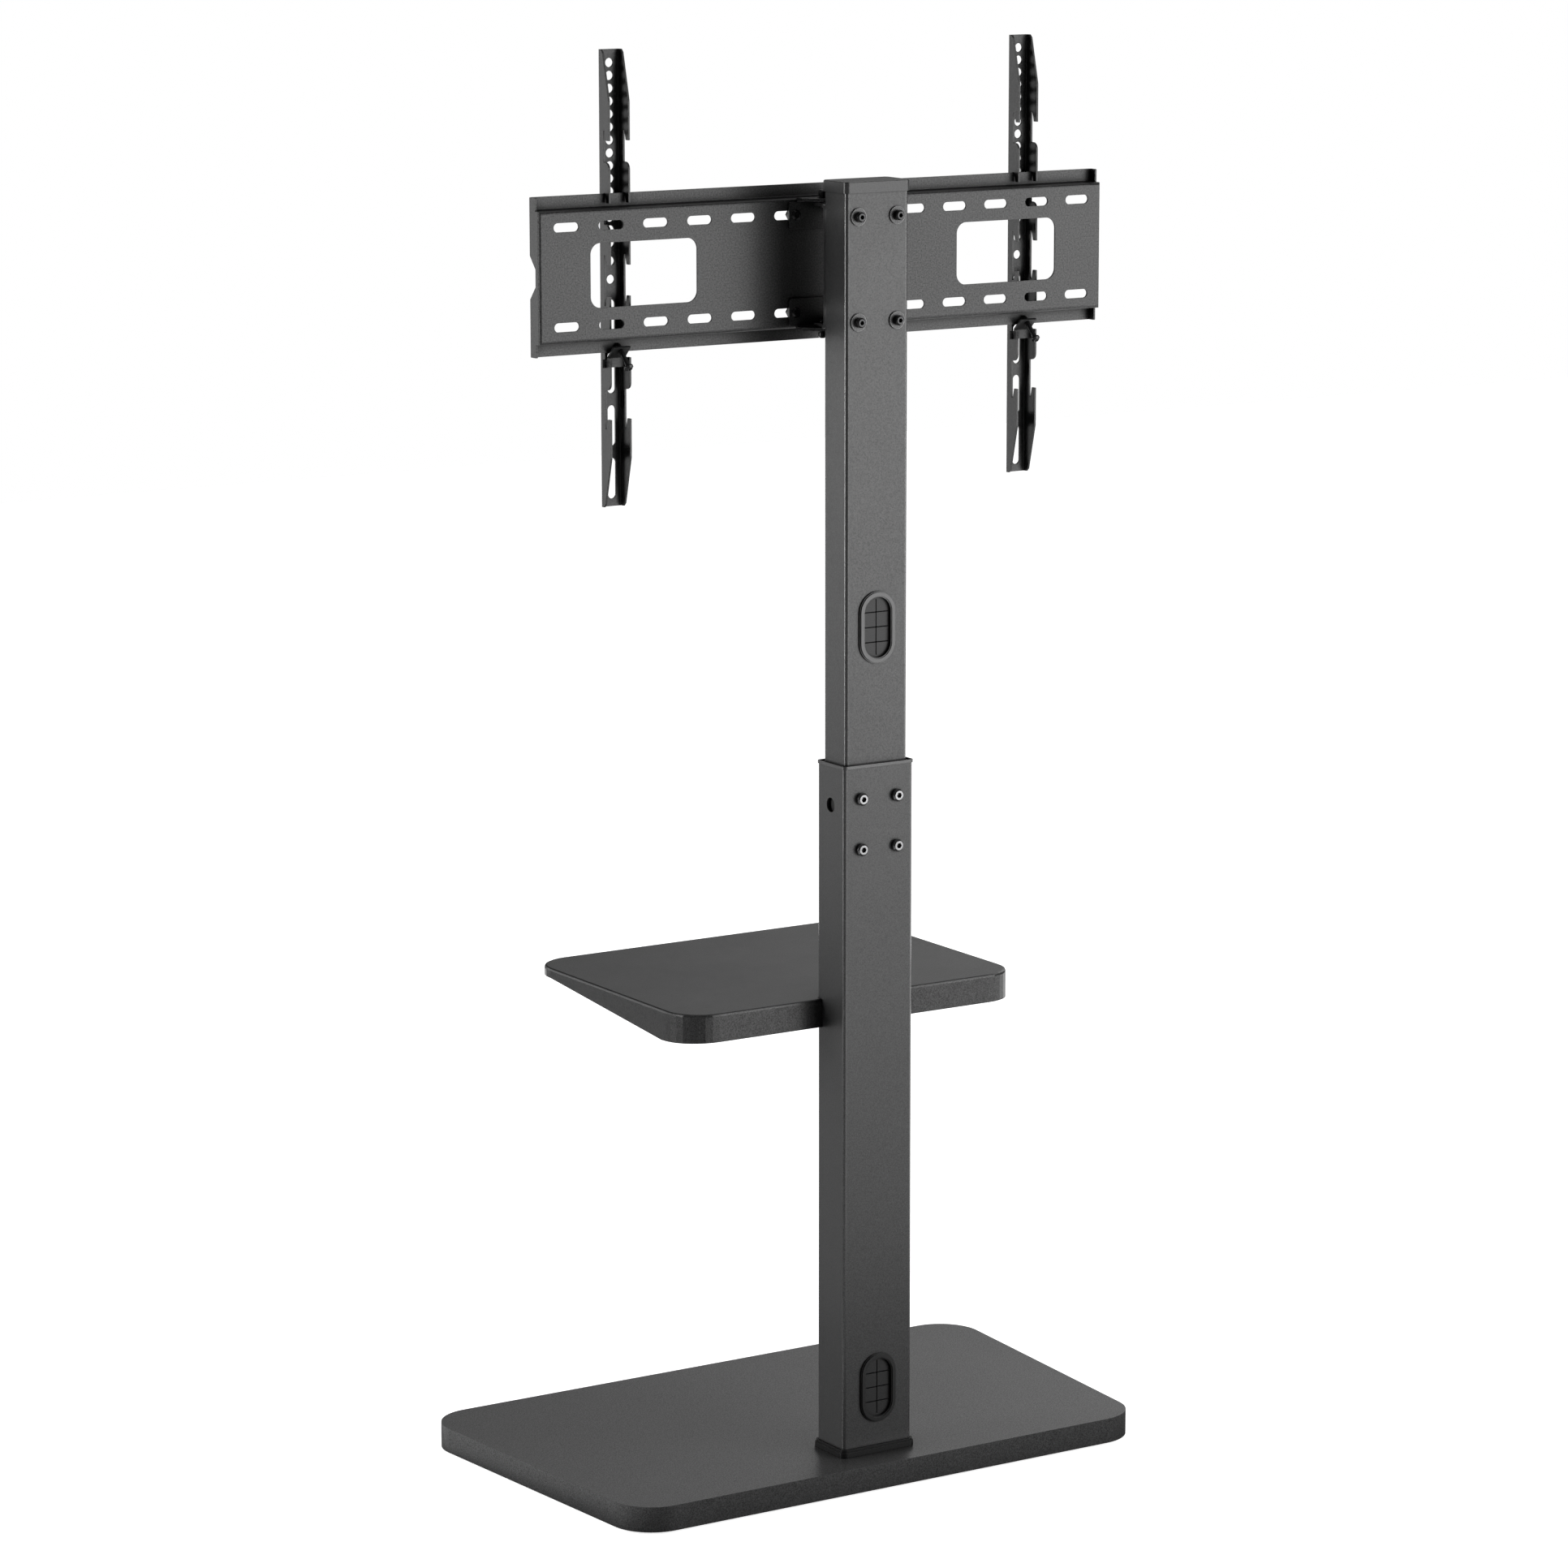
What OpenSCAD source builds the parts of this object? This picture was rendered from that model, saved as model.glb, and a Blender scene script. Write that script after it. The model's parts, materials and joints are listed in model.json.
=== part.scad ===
/* [Base] */
// Width of the base board along its front edge
base_front_w = 660; // [500:5:800]
// Width of the base board along its back edge
base_back_w = 614; // [460:2:800]
// Depth of the base board from front to back
base_d = 388; // [340:2:480]
// Thickness of the base board
base_t = 26; // [22:1:40]
// Radius of the base board's corners in plan
base_corner_r = 45; // [20:1:80]
// Diameter of each rubber foot pad
pad_d = 28; // [16:1:40]
// Height of the rubber foot pads
pad_h = 3; // [2:0.5:8]
// Width of the steel spreader plate under the board
spreader_w = 190; // [120:5:260]
// Depth of the steel spreader plate under the board
spreader_d = 84; // [70:2:96]
// Thickness of the spreader plate
spreader_t = 4; // [3:0.5:6]
// Depth of the pocket in the underside that takes the plate and the bolt heads
pocket_depth = 10; // [10:0.5:14]
// Distance of the columns' centre in front of the base's back edge
column_back = 61; // [54:1:74]

/* [Lower column] */
// Width of the lower column
lower_w = 82; // [78:1:100]
// Depth of the lower column
lower_d = 49; // [46:1:60]
// Wall of the lower column
lower_wall = 2; // [1.5:0.1:2.4]
// Length of the lower column tube
lower_len = 704; // [640:2:800]
// Outside corner radius of both column tubes
tube_corner_r = 3.5; // [2.6:0.1:5]
// Thickness of the foot plate welded under the lower column
foot_plate_t = 5; // [4:0.5:8]
// Overhang of the foot plate round the column
foot_plate_lip = 1.5; // [1:0.25:3]
// Wall of the plastic skirt round the foot plate
skirt_wall = 2; // [1.5:0.25:3]
// Height of the skirt above the base board
skirt_h = 8.2; // [7.5:0.1:12]
// Diameter of the hole in each side of the lower column
side_hole_d = 14.6; // [8:0.2:20]
// Distance of the side holes below the top of the lower tube
side_hole_drop = 39; // [34:1:60]

/* [Upper column] */
// Width of the upper column
upper_w = 73; // [66:0.5:74.5]
// Depth of the upper column
upper_d = 40; // [34:0.5:41.5]
// Wall of the upper column
upper_wall = 2; // [1.5:0.1:2.4]
// Length of the upper column tube
upper_len = 836; // [800:2:900]
// Length of the upper tube inside the lower one at the lowest setting
mast_insert = 260; // [250:2:300]
// Height of the collar's rim above the lower tube
collar_h = 3; // [2:0.25:5]
// Overhang of the collar's rim round the lower tube
collar_lip = 1; // [0.5:0.25:2.5]
// Depth of the collar's sleeve inside the lower tube
sleeve_len = 22; // [12:1:24]
// Height of the glide at the foot of the upper tube
glide_h = 18; // [10:1:20]
// Skirt height of the top cap
cap_skirt_h = 8.2; // [5:0.2:12]
// Thickness of the top cap above the tube
cap_t = 2.8; // [1.2:0.1:4]
// Wall of the top cap's skirt
cap_wall = 1.5; // [0.8:0.1:2]

/* [Height adjustment] */
// Travel of the upper column above its lowest setting
height_travel = 150; // [80:5:150]
// Distance of the upper pair of height bolts below the top of the lower tube
height_bolt_drop = 31; // [30:0.5:40]
// Spacing of the height bolts across the column
height_bolt_x = 42; // [36:1:48]
// Spacing of the height bolts along the column
height_bolt_z = 51; // [44:1:56]
// Thread diameter of the height bolts
height_bolt_d = 8; // [6:0.5:8]
// Head diameter of the height bolts
height_head_d = 12.5; // [11:0.25:14]
// Head height of the height bolts
height_head_h = 5.5; // [4:0.25:8]
// Thickness of the clamp plate inside the upper column
clamp_t = 5; // [4:0.5:7]

/* [Cable grommets] */
// Width of the grommet's flange
grommet_w = 42; // [36:0.5:48]
// Height of the grommet's flange
grommet_h = 72; // [60:1:90]
// Width of the grommet's rim between its outline and its opening
grommet_rim = 5.5; // [4:0.25:8]
// Distance that the flange stands out of the column
grommet_out = 3; // [2:0.25:5]
// Depth of the flaps behind the flange's face
flap_recess = 4.2; // [3.2:0.1:5]
// Thickness of the slit rubber flaps
flap_t = 1.2; // [0.8:0.1:2]
// Width of the slits between the flaps
slit_w = 1; // [0.6:0.1:2]
// Height of the lower grommet above the base board
lower_grommet_h = 68.5; // [60:0.5:200]
// Distance of the upper grommet above the top of the lower tube
upper_grommet_h = 139; // [60:1:260]

/* [Shelf] */
// Width of the shelf
shelf_w = 402; // [300:2:480]
// Reach of the shelf in front of the lower column
shelf_reach = 299.5; // [240:0.5:320]
// Distance that the shelf's back corners reach past the column's front face
shelf_wrap = 9.5; // [3:0.5:12]
// Height of the shelf's top above the base board
shelf_h = 469.2; // [430:0.2:475]
// Thickness of the shelf at its back edge
shelf_back_t = 28.7; // [26:0.1:40]
// Thickness of the shelf where it is deepest
shelf_deep_t = 31; // [29:0.2:42]
// Distance of the deepest place from the shelf's back edge
shelf_deep_back = 48; // [40:1:80]
// Thickness of the shelf at its front edge
shelf_front_t = 10; // [7:0.5:16]
// Length of the level part of the underside at the front
shelf_front_run = 41; // [20:1:58]
// Corner radius of the shelf in plan
shelf_corner_r = 39; // [15:1:60]
// Wall of the moulded shelf
shelf_wall = 3; // [2:0.25:4]
// Rounding of the shelf's top edge
shelf_edge_r = 2.5; // [1:0.25:4]
// Width of the shelf bracket
bracket_w = 60; // [54:1:70]
// Thickness of the shelf bracket
bracket_t = 3; // [2.5:0.25:4]
// Reach of the shelf bracket under the shelf
bracket_reach = 150; // [110:2:200]
// Drop of the shelf bracket below the shelf's top
bracket_drop = 78; // [74:1:100]

/* [Mount plate] */
// Width of the mount plate
plate_w = 660; // [500:10:720]
// Height of the mount plate's web
web_h = 128.2; // [120:0.2:150]
// Height of the mount plate over its lips
plate_h = 154; // [146:1:180]
// Depth of the mount plate from its lips to the back of its web
plate_d = 18.5; // [17:0.5:24]
// Sheet thickness of the mount plate
plate_t = 2; // [1.5:0.1:2.5]
// Distance of the mount plate's centre below the top of the upper tube
mount_drop = 82.7; // [75:0.1:95]
// Gap between the upper column and the mount plate's web
mount_gap = 47; // [46:0.5:56]
// Pitch of the slots along the plate
plate_slot_pitch = 50; // [44:1:60]
// Length of the plate's slots
plate_slot_len = 28; // [20:0.5:34]
// Width of the plate's slots
plate_slot_w = 8.9; // [8:0.1:12]
// Distance between the two rows of slots
plate_row_gap = 96; // [92:0.5:104]
// Width of the plate's windows
window_w = 120.6; // [80:0.6:140]
// Height of the plate's windows
window_h = 62.6; // [40:0.2:70]
// Distance of the windows' centres from the plate's ends
window_end = 117; // [80:1:125]
// Corner radius of the windows
window_r = 11; // [5:1:25]
// Depth of the notch in the plate's end flanges
notch_depth = 10.5; // [4:0.5:12]

/* [Swivel] */
// Distance of the swivel axis behind the mount plate's web
pivot_back = 17.5; // [17:0.25:18.5]
// Largest swivel to either side, in degrees
swivel_max = 20; // [5:1:22]
// Diameter of the two pivot bolts
pivot_d = 10; // [8:0.5:12]
// Thickness of the swivel brackets
yoke_t = 3; // [2.5:0.25:4]
// Half width of the yokes where they are bolted to the plate
yoke_half_w = 48.5; // [44:0.5:60]
// Half width of the yokes' ears
ear_half_w = 39.5; // [30:0.5:42]
// Radius of the yokes' ears round the swivel axis
ear_r = 25.5; // [25:0.1:26]
// Distance from the mount's centre to the outside of the yokes' ears
yoke_out = 65; // [64:0.5:70]
// Height of the yokes' tabs on the plate
tab_h = 31; // [26:0.5:34]
// Thread diameter of the screws between the yokes and the plate
yoke_screw_d = 6; // [4:0.5:6]
// Distance of the limit screws from the swivel axis
limit_r = 19; // [18.5:0.25:19.5]
// Thread diameter of the limit screws
limit_d = 6; // [4:0.5:6]
// Height of the limit screws' heads above the yokes' ears
limit_stand = 2.5; // [0.5:0.25:4]
// Thickness of the friction washers
washer_t = 1; // [0.6:0.1:1.5]
// Half width of the column bracket's web
column_bracket_half_w = 35; // [31:0.5:36]
// Spacing of the head bolts across the column
head_bolt_x = 45; // [40:1:48]
// Spacing of the head bolts along the column
head_bolt_z = 102.8; // [92:0.4:104]
// Thread diameter of the head bolts
head_bolt_d = 6; // [5:0.5:6]
// Washer diameter of the head bolts
head_washer_d = 17.5; // [14:0.5:20]

/* [TV arms] */
// Distance of the right arm from the plate's right end
right_arm_end = 95; // [50:1:160]
// Distance of the left arm from the plate's left end
left_arm_end = 84.5; // [50:0.5:160]
// Length of the TV arms
arm_len = 444; // [440:1:480]
// Width of the TV arms
arm_w = 24; // [22:0.5:30]
// Depth of the arms' flanges
arm_d = 20; // [19:0.25:22]
// Sheet thickness of the arms
arm_t = 2; // [1.5:0.1:2.5]
// Depth of the arms' flanges at their ends
arm_end_d = 9; // [6:0.5:14]
// Length over which the flanges narrow at each end
arm_taper = 49; // [20:1:60]
// Depth of the flanges in their recesses
hook_d = 10.2; // [9:0.1:11]
// Distance from the arm's centre to the end of its first hook slit
hook_first = 24.6; // [20:0.1:26]
// Distance of the lower hooks' slits below the mount plate's lip
lock_drop = 14.9; // [12:0.1:16]
// Length of the hook slits
hook_slit_len = 9.6; // [8:0.2:11]
// Length of each recess, from the slit's end to the rounded shoulder
recess_len = 30.5; // [30:0.1:33]
// Length of the recess below the lower half's end hook
low_recess_len = 38; // [36:0.5:42]
// Radius of the rounded shoulders
shoulder_r = 7; // [3:0.5:8]
// Diameter of the round holes in the arms
arm_hole_d = 8.9; // [6:0.1:10]
// Pitch of the round holes
arm_hole_pitch = 12.4; // [12:0.1:13.5]
// Number of round holes in the upper half of each arm
arm_hole_count = 15; // [8:1:15]
// Distance of the first hole from the arm's end
arm_hole_edge = 13; // [10:0.5:20]
// Length of the slots in the lower half of each arm
arm_slot_len = 40; // [24:1:42]
// Distance from the arm's centre to the top of its first slot
arm_slot_first = 19.5; // [16:0.5:22]
// Pitch of the slots in the arms
arm_slot_pitch = 51.7; // [46:0.1:52.5]

/* [Arm locks] */
// Width of the lock plates over their wings
lock_w = 32; // [31:0.5:44]
// Length of the lock plates' sloping part
lock_roof = 15.4; // [14:0.2:22]
// Distance of the lock screws from the lock plates' upper edge
lock_hole_edge = 4; // [3.8:0.1:6]
// Slope of the lock plates' upper part, in degrees
lock_slope = 45; // [38:1:48]
// Thread diameter of the lock screws
lock_screw_d = 5; // [4:0.25:5]
// Length of the lock screws under their heads
lock_screw_len = 29.5; // [28:0.5:36]
// Head diameter of the lock screws
lock_head_d = 9; // [8:0.25:12]

/* [Fits] */
// Clearance between pieces that move past each other
slide_gap = 0.3; // [0.25:0.05:0.4]
// Clearance between fixed pieces that fit into each other
seat_gap = 0.2; // [0.1:0.05:0.3]
// Radial clearance of threads, pins and pivots in their holes
pin_gap = 0.05; // [0.02:0.01:0.08]
// Radial clearance of bolts in plain holes
bolt_gap = 0.3; // [0.2:0.05:0.5]

/* [Hidden] */
$fn = 64;
black = [0.2, 0.2, 0.21];
rubber = [0.09, 0.09, 0.1];
zinc = [0.62, 0.62, 0.64];
nylon = [0.8, 0.8, 0.76];

// Heights of the stack, from the floor up
board_z0 = pad_h;
board_z1 = board_z0 + base_t;
lower_z0 = board_z1 + foot_plate_t;
lower_z1 = lower_z0 + lower_len;
collar_z1 = lower_z1 + collar_h;
mast_z0 = lower_z1 - mast_insert;
mast_z1 = mast_z0 + upper_len;
mount_z = mast_z1 - mount_drop;

// Faces of the columns
column_y = base_d / 2 - column_back;
lower_back_y = column_y + lower_d / 2;
lower_front_y = column_y - lower_d / 2;
upper_back_y = column_y + upper_d / 2;
upper_front_y = column_y - upper_d / 2;
lower_in_w = lower_w - 2 * lower_wall;
lower_in_d = lower_d - 2 * lower_wall;
upper_in_w = upper_w - 2 * upper_wall;
upper_in_d = upper_d - 2 * upper_wall;

// Base fixings
pocket_z1 = board_z0 + pocket_depth;
spreader_z0 = pocket_z1 - spreader_t;
base_bolt_d = 8;
base_bolt_x = lower_in_w / 2 - 12;
base_bolt_y = lower_in_d / 2 - 9;
pad_inset = base_corner_r;

// Height bolts and the slots that they clamp
height_bolt_top = lower_z1 - height_bolt_drop;
height_bolt_low = height_bolt_top - height_bolt_z;
slot_half_w = height_bolt_d / 2 + slide_gap;
slot_top = height_bolt_top + slide_gap;
slot_low = height_bolt_low - height_travel - slide_gap;
clamp_y1 = upper_back_y - upper_wall - slide_gap;
clamp_margin = 15;
clamp_side = 10;

// Grommets
lower_grommet_z = board_z1 + lower_grommet_h;
upper_grommet_z = lower_z1 + upper_grommet_h;
neck_wall = 1;
neck_len = flap_recess - grommet_out + flap_t + 1;

// Shelf
shelf_z1 = board_z1 + shelf_h;
shelf_y0 = lower_front_y - shelf_reach;
shelf_y1 = lower_front_y + shelf_wrap;
shelf_depth = shelf_y1 - shelf_y0;
shelf_mid_y = (shelf_y0 + shelf_y1) / 2;
panel_z0 = shelf_z1 - shelf_wall;
boss_h = 8;
boss_d = 12;
shelf_bracket_z1 = panel_z0 - boss_h;
boss_x = bracket_w / 2 - 9;
boss_near = 45;
boss_end = 18;
boss_far = bracket_reach - boss_end;
rib_front = 60;
shelf_bolt_d = 6;
shelf_bolt_x = bracket_w / 2 - 10;
shelf_bolt_low = shelf_z1 - bracket_drop + 12;
shelf_bolt_z = 30;
nut_barrel_r = shelf_bolt_d / 2 + 1.5;
nut_bulge_r = nut_barrel_r + 1.2;

// Mount plate, from its web forward
web_back_y = upper_front_y - mount_gap;
web_front_y = web_back_y - plate_t;
lip_front_y = web_back_y - plate_d;
lip_back_y = lip_front_y + plate_t;
plate_bend_r = 1.5;
slot_end_margin = 10;
plate_slots_side = floor((plate_w / 2 - slot_end_margin - plate_slot_len / 2) / plate_slot_pitch);
window_x = plate_w / 2 - window_end;
notch_out_h = 42;
notch_in_h = 17;
end_tab_d = 10.5;

// Swivel, measured up and down from the mount's centre
pivot_y = web_back_y + pivot_back;
yoke_in = yoke_out - yoke_t;
bracket_out = yoke_in - washer_t - seat_gap;
bracket_in = bracket_out - yoke_t;
column_web_y0 = upper_front_y - yoke_t;
column_ear_half_w = limit_r + limit_d / 2 + 4;
column_ear_front = 5;
column_ear_r = pivot_back - yoke_t - 1;
pivot_head_h = pivot_d * 0.55;
pivot_nut_h = pivot_d * 0.6;
pivot_hex_d = pivot_d * 1.8;
limit_head_h = limit_d * 0.9;
limit_slot_half_w = limit_d / 2 + slide_gap;
yoke_nut_h = yoke_screw_d * 0.77;
yoke_flange_h = yoke_screw_d / 4;
yoke_screw_x = plate_slot_pitch - plate_slot_len / 2 + plate_slot_w / 2;

// Arms, from the lips forward and from their own centre up
right_arm_x = plate_w / 2 - right_arm_end;
left_arm_x = plate_w / 2 - left_arm_end;
arm_y0 = lip_front_y - slide_gap - hook_d;
hang_hook = (plate_h + slide_gap + lock_drop) / 2;
hook_pitch = hang_hook - hook_first;
arm_z = mount_z + plate_h / 2 + slide_gap - hang_hook;
hook_slit_w = plate_t + 2 * slide_gap;
hook_mouth_w = hook_slit_w + 2.2;
hook_count = 3;
first_slot = arm_slot_first + arm_slot_len / 2;
last_row_hole = arm_len / 2 - arm_hole_edge - (arm_hole_count - 1) * arm_hole_pitch;

// Arm locks, in the slits of the lower hooks
lock_t = hook_slit_w - 2 * slide_gap;
lock_y = arm_y0 + hook_d + hook_slit_w / 2;
lock_z0 = arm_z - hang_hook;
lock_z1 = lock_z0 + hook_slit_len;
screw_lean = 90 - lock_slope;
lock_hole_y = lock_y + (lock_roof - lock_hole_edge) * cos(lock_slope);
lock_hole_z = lock_z1 + (lock_roof - lock_hole_edge) * sin(lock_slope);
lock_tip_y = lip_back_y + slide_gap + 1;
lock_tip_z = lock_hole_z + (lock_hole_y - lock_tip_y) / tan(lock_slope);
lock_tip_len = 3;

// A unit direction at an angle, and the left-hand normal of a direction
function dir(a) = [cos(a), sin(a)];
function left(v) = [-v[1], v[0]];
function unit(v) = v / norm(v);
function turn(a, b) = atan2(a[0] * b[1] - a[1] * b[0], a * b);
function arc(c, r, a0, a1, n) = [for (i = [0:n]) c + r * dir(a0 + (a1 - a0) * i / n)];
function reversed(p) = [for (i = [len(p) - 1:-1:0]) p[i]];

// One corner of a bent sheet, on its left (side 1) or right (side -1) face
function bend(a, b, c, t, ri, side) =
    let (d1 = unit(b - a), s = sign(turn(d1, unit(c - b))))
    let (ang = turn(d1, unit(c - b)), rc = ri + t / 2)
    let (centre = b - d1 * rc * tan(abs(ang) / 2) + s * rc * left(d1))
    let (n = -s * left(d1), a0 = atan2(n[1], n[0]))
    arc(centre, rc - side * s * t / 2, a0, a0 + ang, 4);

function sheet_side(p, t, ri, side) = concat(
    [p[0] + side * t / 2 * left(unit(p[1] - p[0]))],
    [for (i = [1:len(p) - 2]) each bend(p[i - 1], p[i], p[i + 1], t, ri, side)],
    [p[len(p) - 1] + side * t / 2 * left(unit(p[len(p) - 1] - p[len(p) - 2]))]);

// The edge view of a sheet of thickness t bent along the path p
module sheet(p, t, ri) {
    polygon(concat(sheet_side(p, t, ri, 1), reversed(sheet_side(p, t, ri, -1))));
}

// A rectangle with true round corners
module rounded(w, d, r) {
    square([w - 2 * r, d], center = true);
    square([w, d - 2 * r], center = true);
    for (x = [-1, 1], y = [-1, 1]) translate([x * (w / 2 - r), y * (d / 2 - r)]) circle(r);
}

module frame(w, d, r, wall) {
    difference() {
        rounded(w, d, r);
        rounded(w - 2 * wall, d - 2 * wall, max(r - wall, 0.4));
    }
}

// An upright slot with round ends
module stadium(w, h) {
    square([w, h - w], center = true);
    for (s = [-1, 1]) translate([0, s * (h - w) / 2]) circle(w / 2);
}

module lying_slot(len, w) {
    rotate(90) stadium(w, len);
}

// Plan shapes raised between two heights
module slab(z0, z1) {
    translate([0, 0, z0]) linear_extrude(z1 - z0) children();
}

// Front views (x across, z up) given a depth from y0 to y1
module front_view(y0, y1) {
    translate([0, y1, 0]) rotate([90, 0, 0]) linear_extrude(y1 - y0) children();
}

// Side views (y across, z up) given a width from x0 to x1
module side_view(x0, x1) {
    translate([x0, 0, 0]) rotate([90, 0, 90]) linear_extrude(x1 - x0) children();
}

module rod_y(x, z, r, y0, y1) {
    translate([x, y0, z]) rotate([-90, 0, 0]) cylinder(r = r, h = y1 - y0);
}

module rod_z(x, y, r, z0, z1) {
    translate([x, y, z0]) cylinder(r = r, h = z1 - z0);
}

module hex_z(x, y, d, z0, z1) {
    translate([x, y, z0]) cylinder(d = d, h = z1 - z0, $fn = 6);
}

// A cap screw along Y whose head stands behind its seat at y1
module cap_screw(x, z, d, head_d, head_h, y0, y1) {
    bevel = head_d * 0.13;
    difference() {
        union() {
            rod_y(x, z, d / 2, y0, y1);
            rod_y(x, z, head_d / 2, y1, y1 + head_h - bevel);
            translate([x, y1 + head_h - bevel, z]) rotate([-90, 0, 0])
                cylinder(r1 = head_d / 2, r2 = head_d / 2 - bevel, h = bevel);
        }
        translate([x, y1 + head_h * 0.4, z]) rotate([-90, 0, 0])
            cylinder(d = head_d * 0.46, h = head_h, $fn = 6);
    }
}

module height_bolt_places() {
    for (x = [-1, 1], z = [height_bolt_top, height_bolt_low])
        translate([x * height_bolt_x / 2, 0, z]) children();
}

module head_bolt_places() {
    for (x = [-1, 1], z = [-1, 1])
        translate([x * head_bolt_x / 2, 0, mount_z + z * head_bolt_z / 2]) children();
}

module shelf_bolt_places() {
    for (x = [-1, 1], i = [0, 1])
        translate([x * shelf_bolt_x, 0, shelf_bolt_low + i * shelf_bolt_z]) children();
}

module boss_places() {
    for (x = [-1, 1], reach = [boss_near, boss_far])
        translate([x * boss_x, lower_front_y - reach, 0]) children();
}

module base_bolt_places() {
    for (x = [-1, 1], y = [-1, 1])
        translate([x * base_bolt_x, column_y + y * base_bolt_y, 0]) children();
}

// Corner circles of the base board and the tangent points of its slanted sides
front_c = [base_front_w / 2 - base_corner_r, -base_d / 2 + base_corner_r];
back_c = [base_back_w / 2 - base_corner_r, base_d / 2 - base_corner_r];
side_n = -left(unit(back_c - front_c));
board_half = [
    front_c - [0, base_corner_r], front_c + base_corner_r * side_n,
    back_c + base_corner_r * side_n, back_c + [0, base_corner_r]
];

module base_outline() {
    polygon(concat(board_half, [for (p = reversed(board_half)) [-p[0], p[1]]]));
    for (s = [-1, 1], c = [front_c, back_c]) translate([s * c[0], c[1]]) circle(base_corner_r, $fn = 96);
}

module base_board() {
    color(black) difference() {
        slab(board_z0, board_z1) base_outline();
        slab(board_z0 - 1, pocket_z1) translate([0, column_y])
            rounded(spreader_w + 2 * seat_gap, spreader_d + 2 * seat_gap, 6 + seat_gap);
        base_bolt_places() rod_z(0, 0, base_bolt_d / 2 + bolt_gap, board_z0, board_z1 + 1);
    }
}

module base_pads() {
    color(rubber) for (s = [-1, 1], c = [front_c, back_c])
        rod_z(s * c[0], c[1], pad_d / 2, 0, pad_h);
    color(rubber) rod_z(0, front_c[1], pad_d / 2, 0, pad_h);
}

module spreader_plate() {
    color(zinc) difference() {
        slab(spreader_z0, pocket_z1) translate([0, column_y]) rounded(spreader_w, spreader_d, 6);
        base_bolt_places() rod_z(0, 0, base_bolt_d / 2 + bolt_gap, board_z0, board_z1);
    }
}

module base_bolts() {
    color(zinc) base_bolt_places() {
        rod_z(0, 0, base_bolt_d / 2, spreader_z0, lower_z0 + 2);
        hex_z(0, 0, base_bolt_d * 1.73, spreader_z0 - 5, spreader_z0);
    }
}

module foot_plate() {
    color(black) difference() {
        slab(board_z1, lower_z0) translate([0, column_y])
            rounded(lower_w + 2 * foot_plate_lip, lower_d + 2 * foot_plate_lip, tube_corner_r + foot_plate_lip);
        base_bolt_places() rod_z(0, 0, base_bolt_d / 2 + pin_gap, board_z1 - 1, lower_z0 + 1);
    }
}

// A slip-on cover: a lower step round the foot plate and an upper step round the tube
module base_skirt() {
    in = foot_plate_lip + seat_gap;
    out = in + skirt_wall;
    step = lower_z0 + 0.6;
    color(rubber) difference() {
        union() {
            slab(board_z1, step) translate([0, column_y])
                rounded(lower_w + 2 * out, lower_d + 2 * out, tube_corner_r + out);
            slab(step, board_z1 + skirt_h) translate([0, column_y])
                rounded(lower_w + 2 * out - 2.4, lower_d + 2 * out - 2.4, tube_corner_r + out - 1.2);
        }
        slab(board_z1 - 1, lower_z0 + seat_gap) translate([0, column_y])
            rounded(lower_w + 2 * in, lower_d + 2 * in, tube_corner_r + in);
        slab(board_z1 - 1, board_z1 + skirt_h + 1) translate([0, column_y])
            rounded(lower_w + 2 * seat_gap, lower_d + 2 * seat_gap, tube_corner_r + seat_gap);
    }
}

module grommet_cut(back_y, wall, z) {
    front_view(back_y - wall - 1, back_y + 1) translate([0, z])
        stadium(grommet_w - 2 * grommet_rim + 2 * neck_wall + 2 * seat_gap,
                grommet_h - 2 * grommet_rim + 2 * neck_wall + 2 * seat_gap);
}

module lower_column() {
    color(black) difference() {
        slab(lower_z0, lower_z1) translate([0, column_y]) frame(lower_w, lower_d, tube_corner_r, lower_wall);
        height_bolt_places() rod_y(0, 0, height_bolt_d / 2 + bolt_gap, lower_back_y - lower_wall - 1, lower_back_y + 1);
        grommet_cut(lower_back_y, lower_wall, lower_grommet_z);
        translate([-lower_w, column_y, lower_z1 - side_hole_drop]) rotate([0, 90, 0])
            cylinder(d = side_hole_d, h = 2 * lower_w);
        shelf_bolt_places() rod_y(0, 0, nut_barrel_r + seat_gap, lower_front_y - 1, lower_front_y + lower_wall + 1);
    }
}

// A snap-in ring: a stepped flange outside the wall and a neck through it
module grommet(back_y, z) {
    in_w = grommet_w - 2 * grommet_rim;
    in_h = grommet_h - 2 * grommet_rim;
    translate([0, back_y, z]) difference() {
        union() {
            front_view(0, grommet_out * 0.6) stadium(grommet_w, grommet_h);
            front_view(grommet_out * 0.6, grommet_out) stadium(grommet_w - 2, grommet_h - 2);
            front_view(-neck_len, 0) stadium(in_w + 2 * neck_wall, in_h + 2 * neck_wall);
        }
        front_view(-neck_len - 1, grommet_out + 1) stadium(in_w, in_h);
        front_view(grommet_out - 0.8, grommet_out + 1) stadium(in_w + 2, in_h + 2);
    }
}

// A rubber membrane slit into two columns of four flaps
module grommet_flaps(back_y, z) {
    w = grommet_w - 2 * grommet_rim - 2 * pin_gap;
    h = grommet_h - 2 * grommet_rim - 2 * pin_gap;
    face = back_y + grommet_out - flap_recess;
    front_view(face - flap_t, face) translate([0, z]) difference() {
        stadium(w, h);
        square([slit_w, h - 5], center = true);
        for (i = [-1:1]) translate([0, i * h / 4.06]) square([w - 3, slit_w], center = true);
    }
}

module lower_grommet() {
    color(rubber) grommet(lower_back_y, lower_grommet_z);
}

module lower_grommet_flaps() {
    color(rubber) grommet_flaps(lower_back_y, lower_grommet_z);
}

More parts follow.
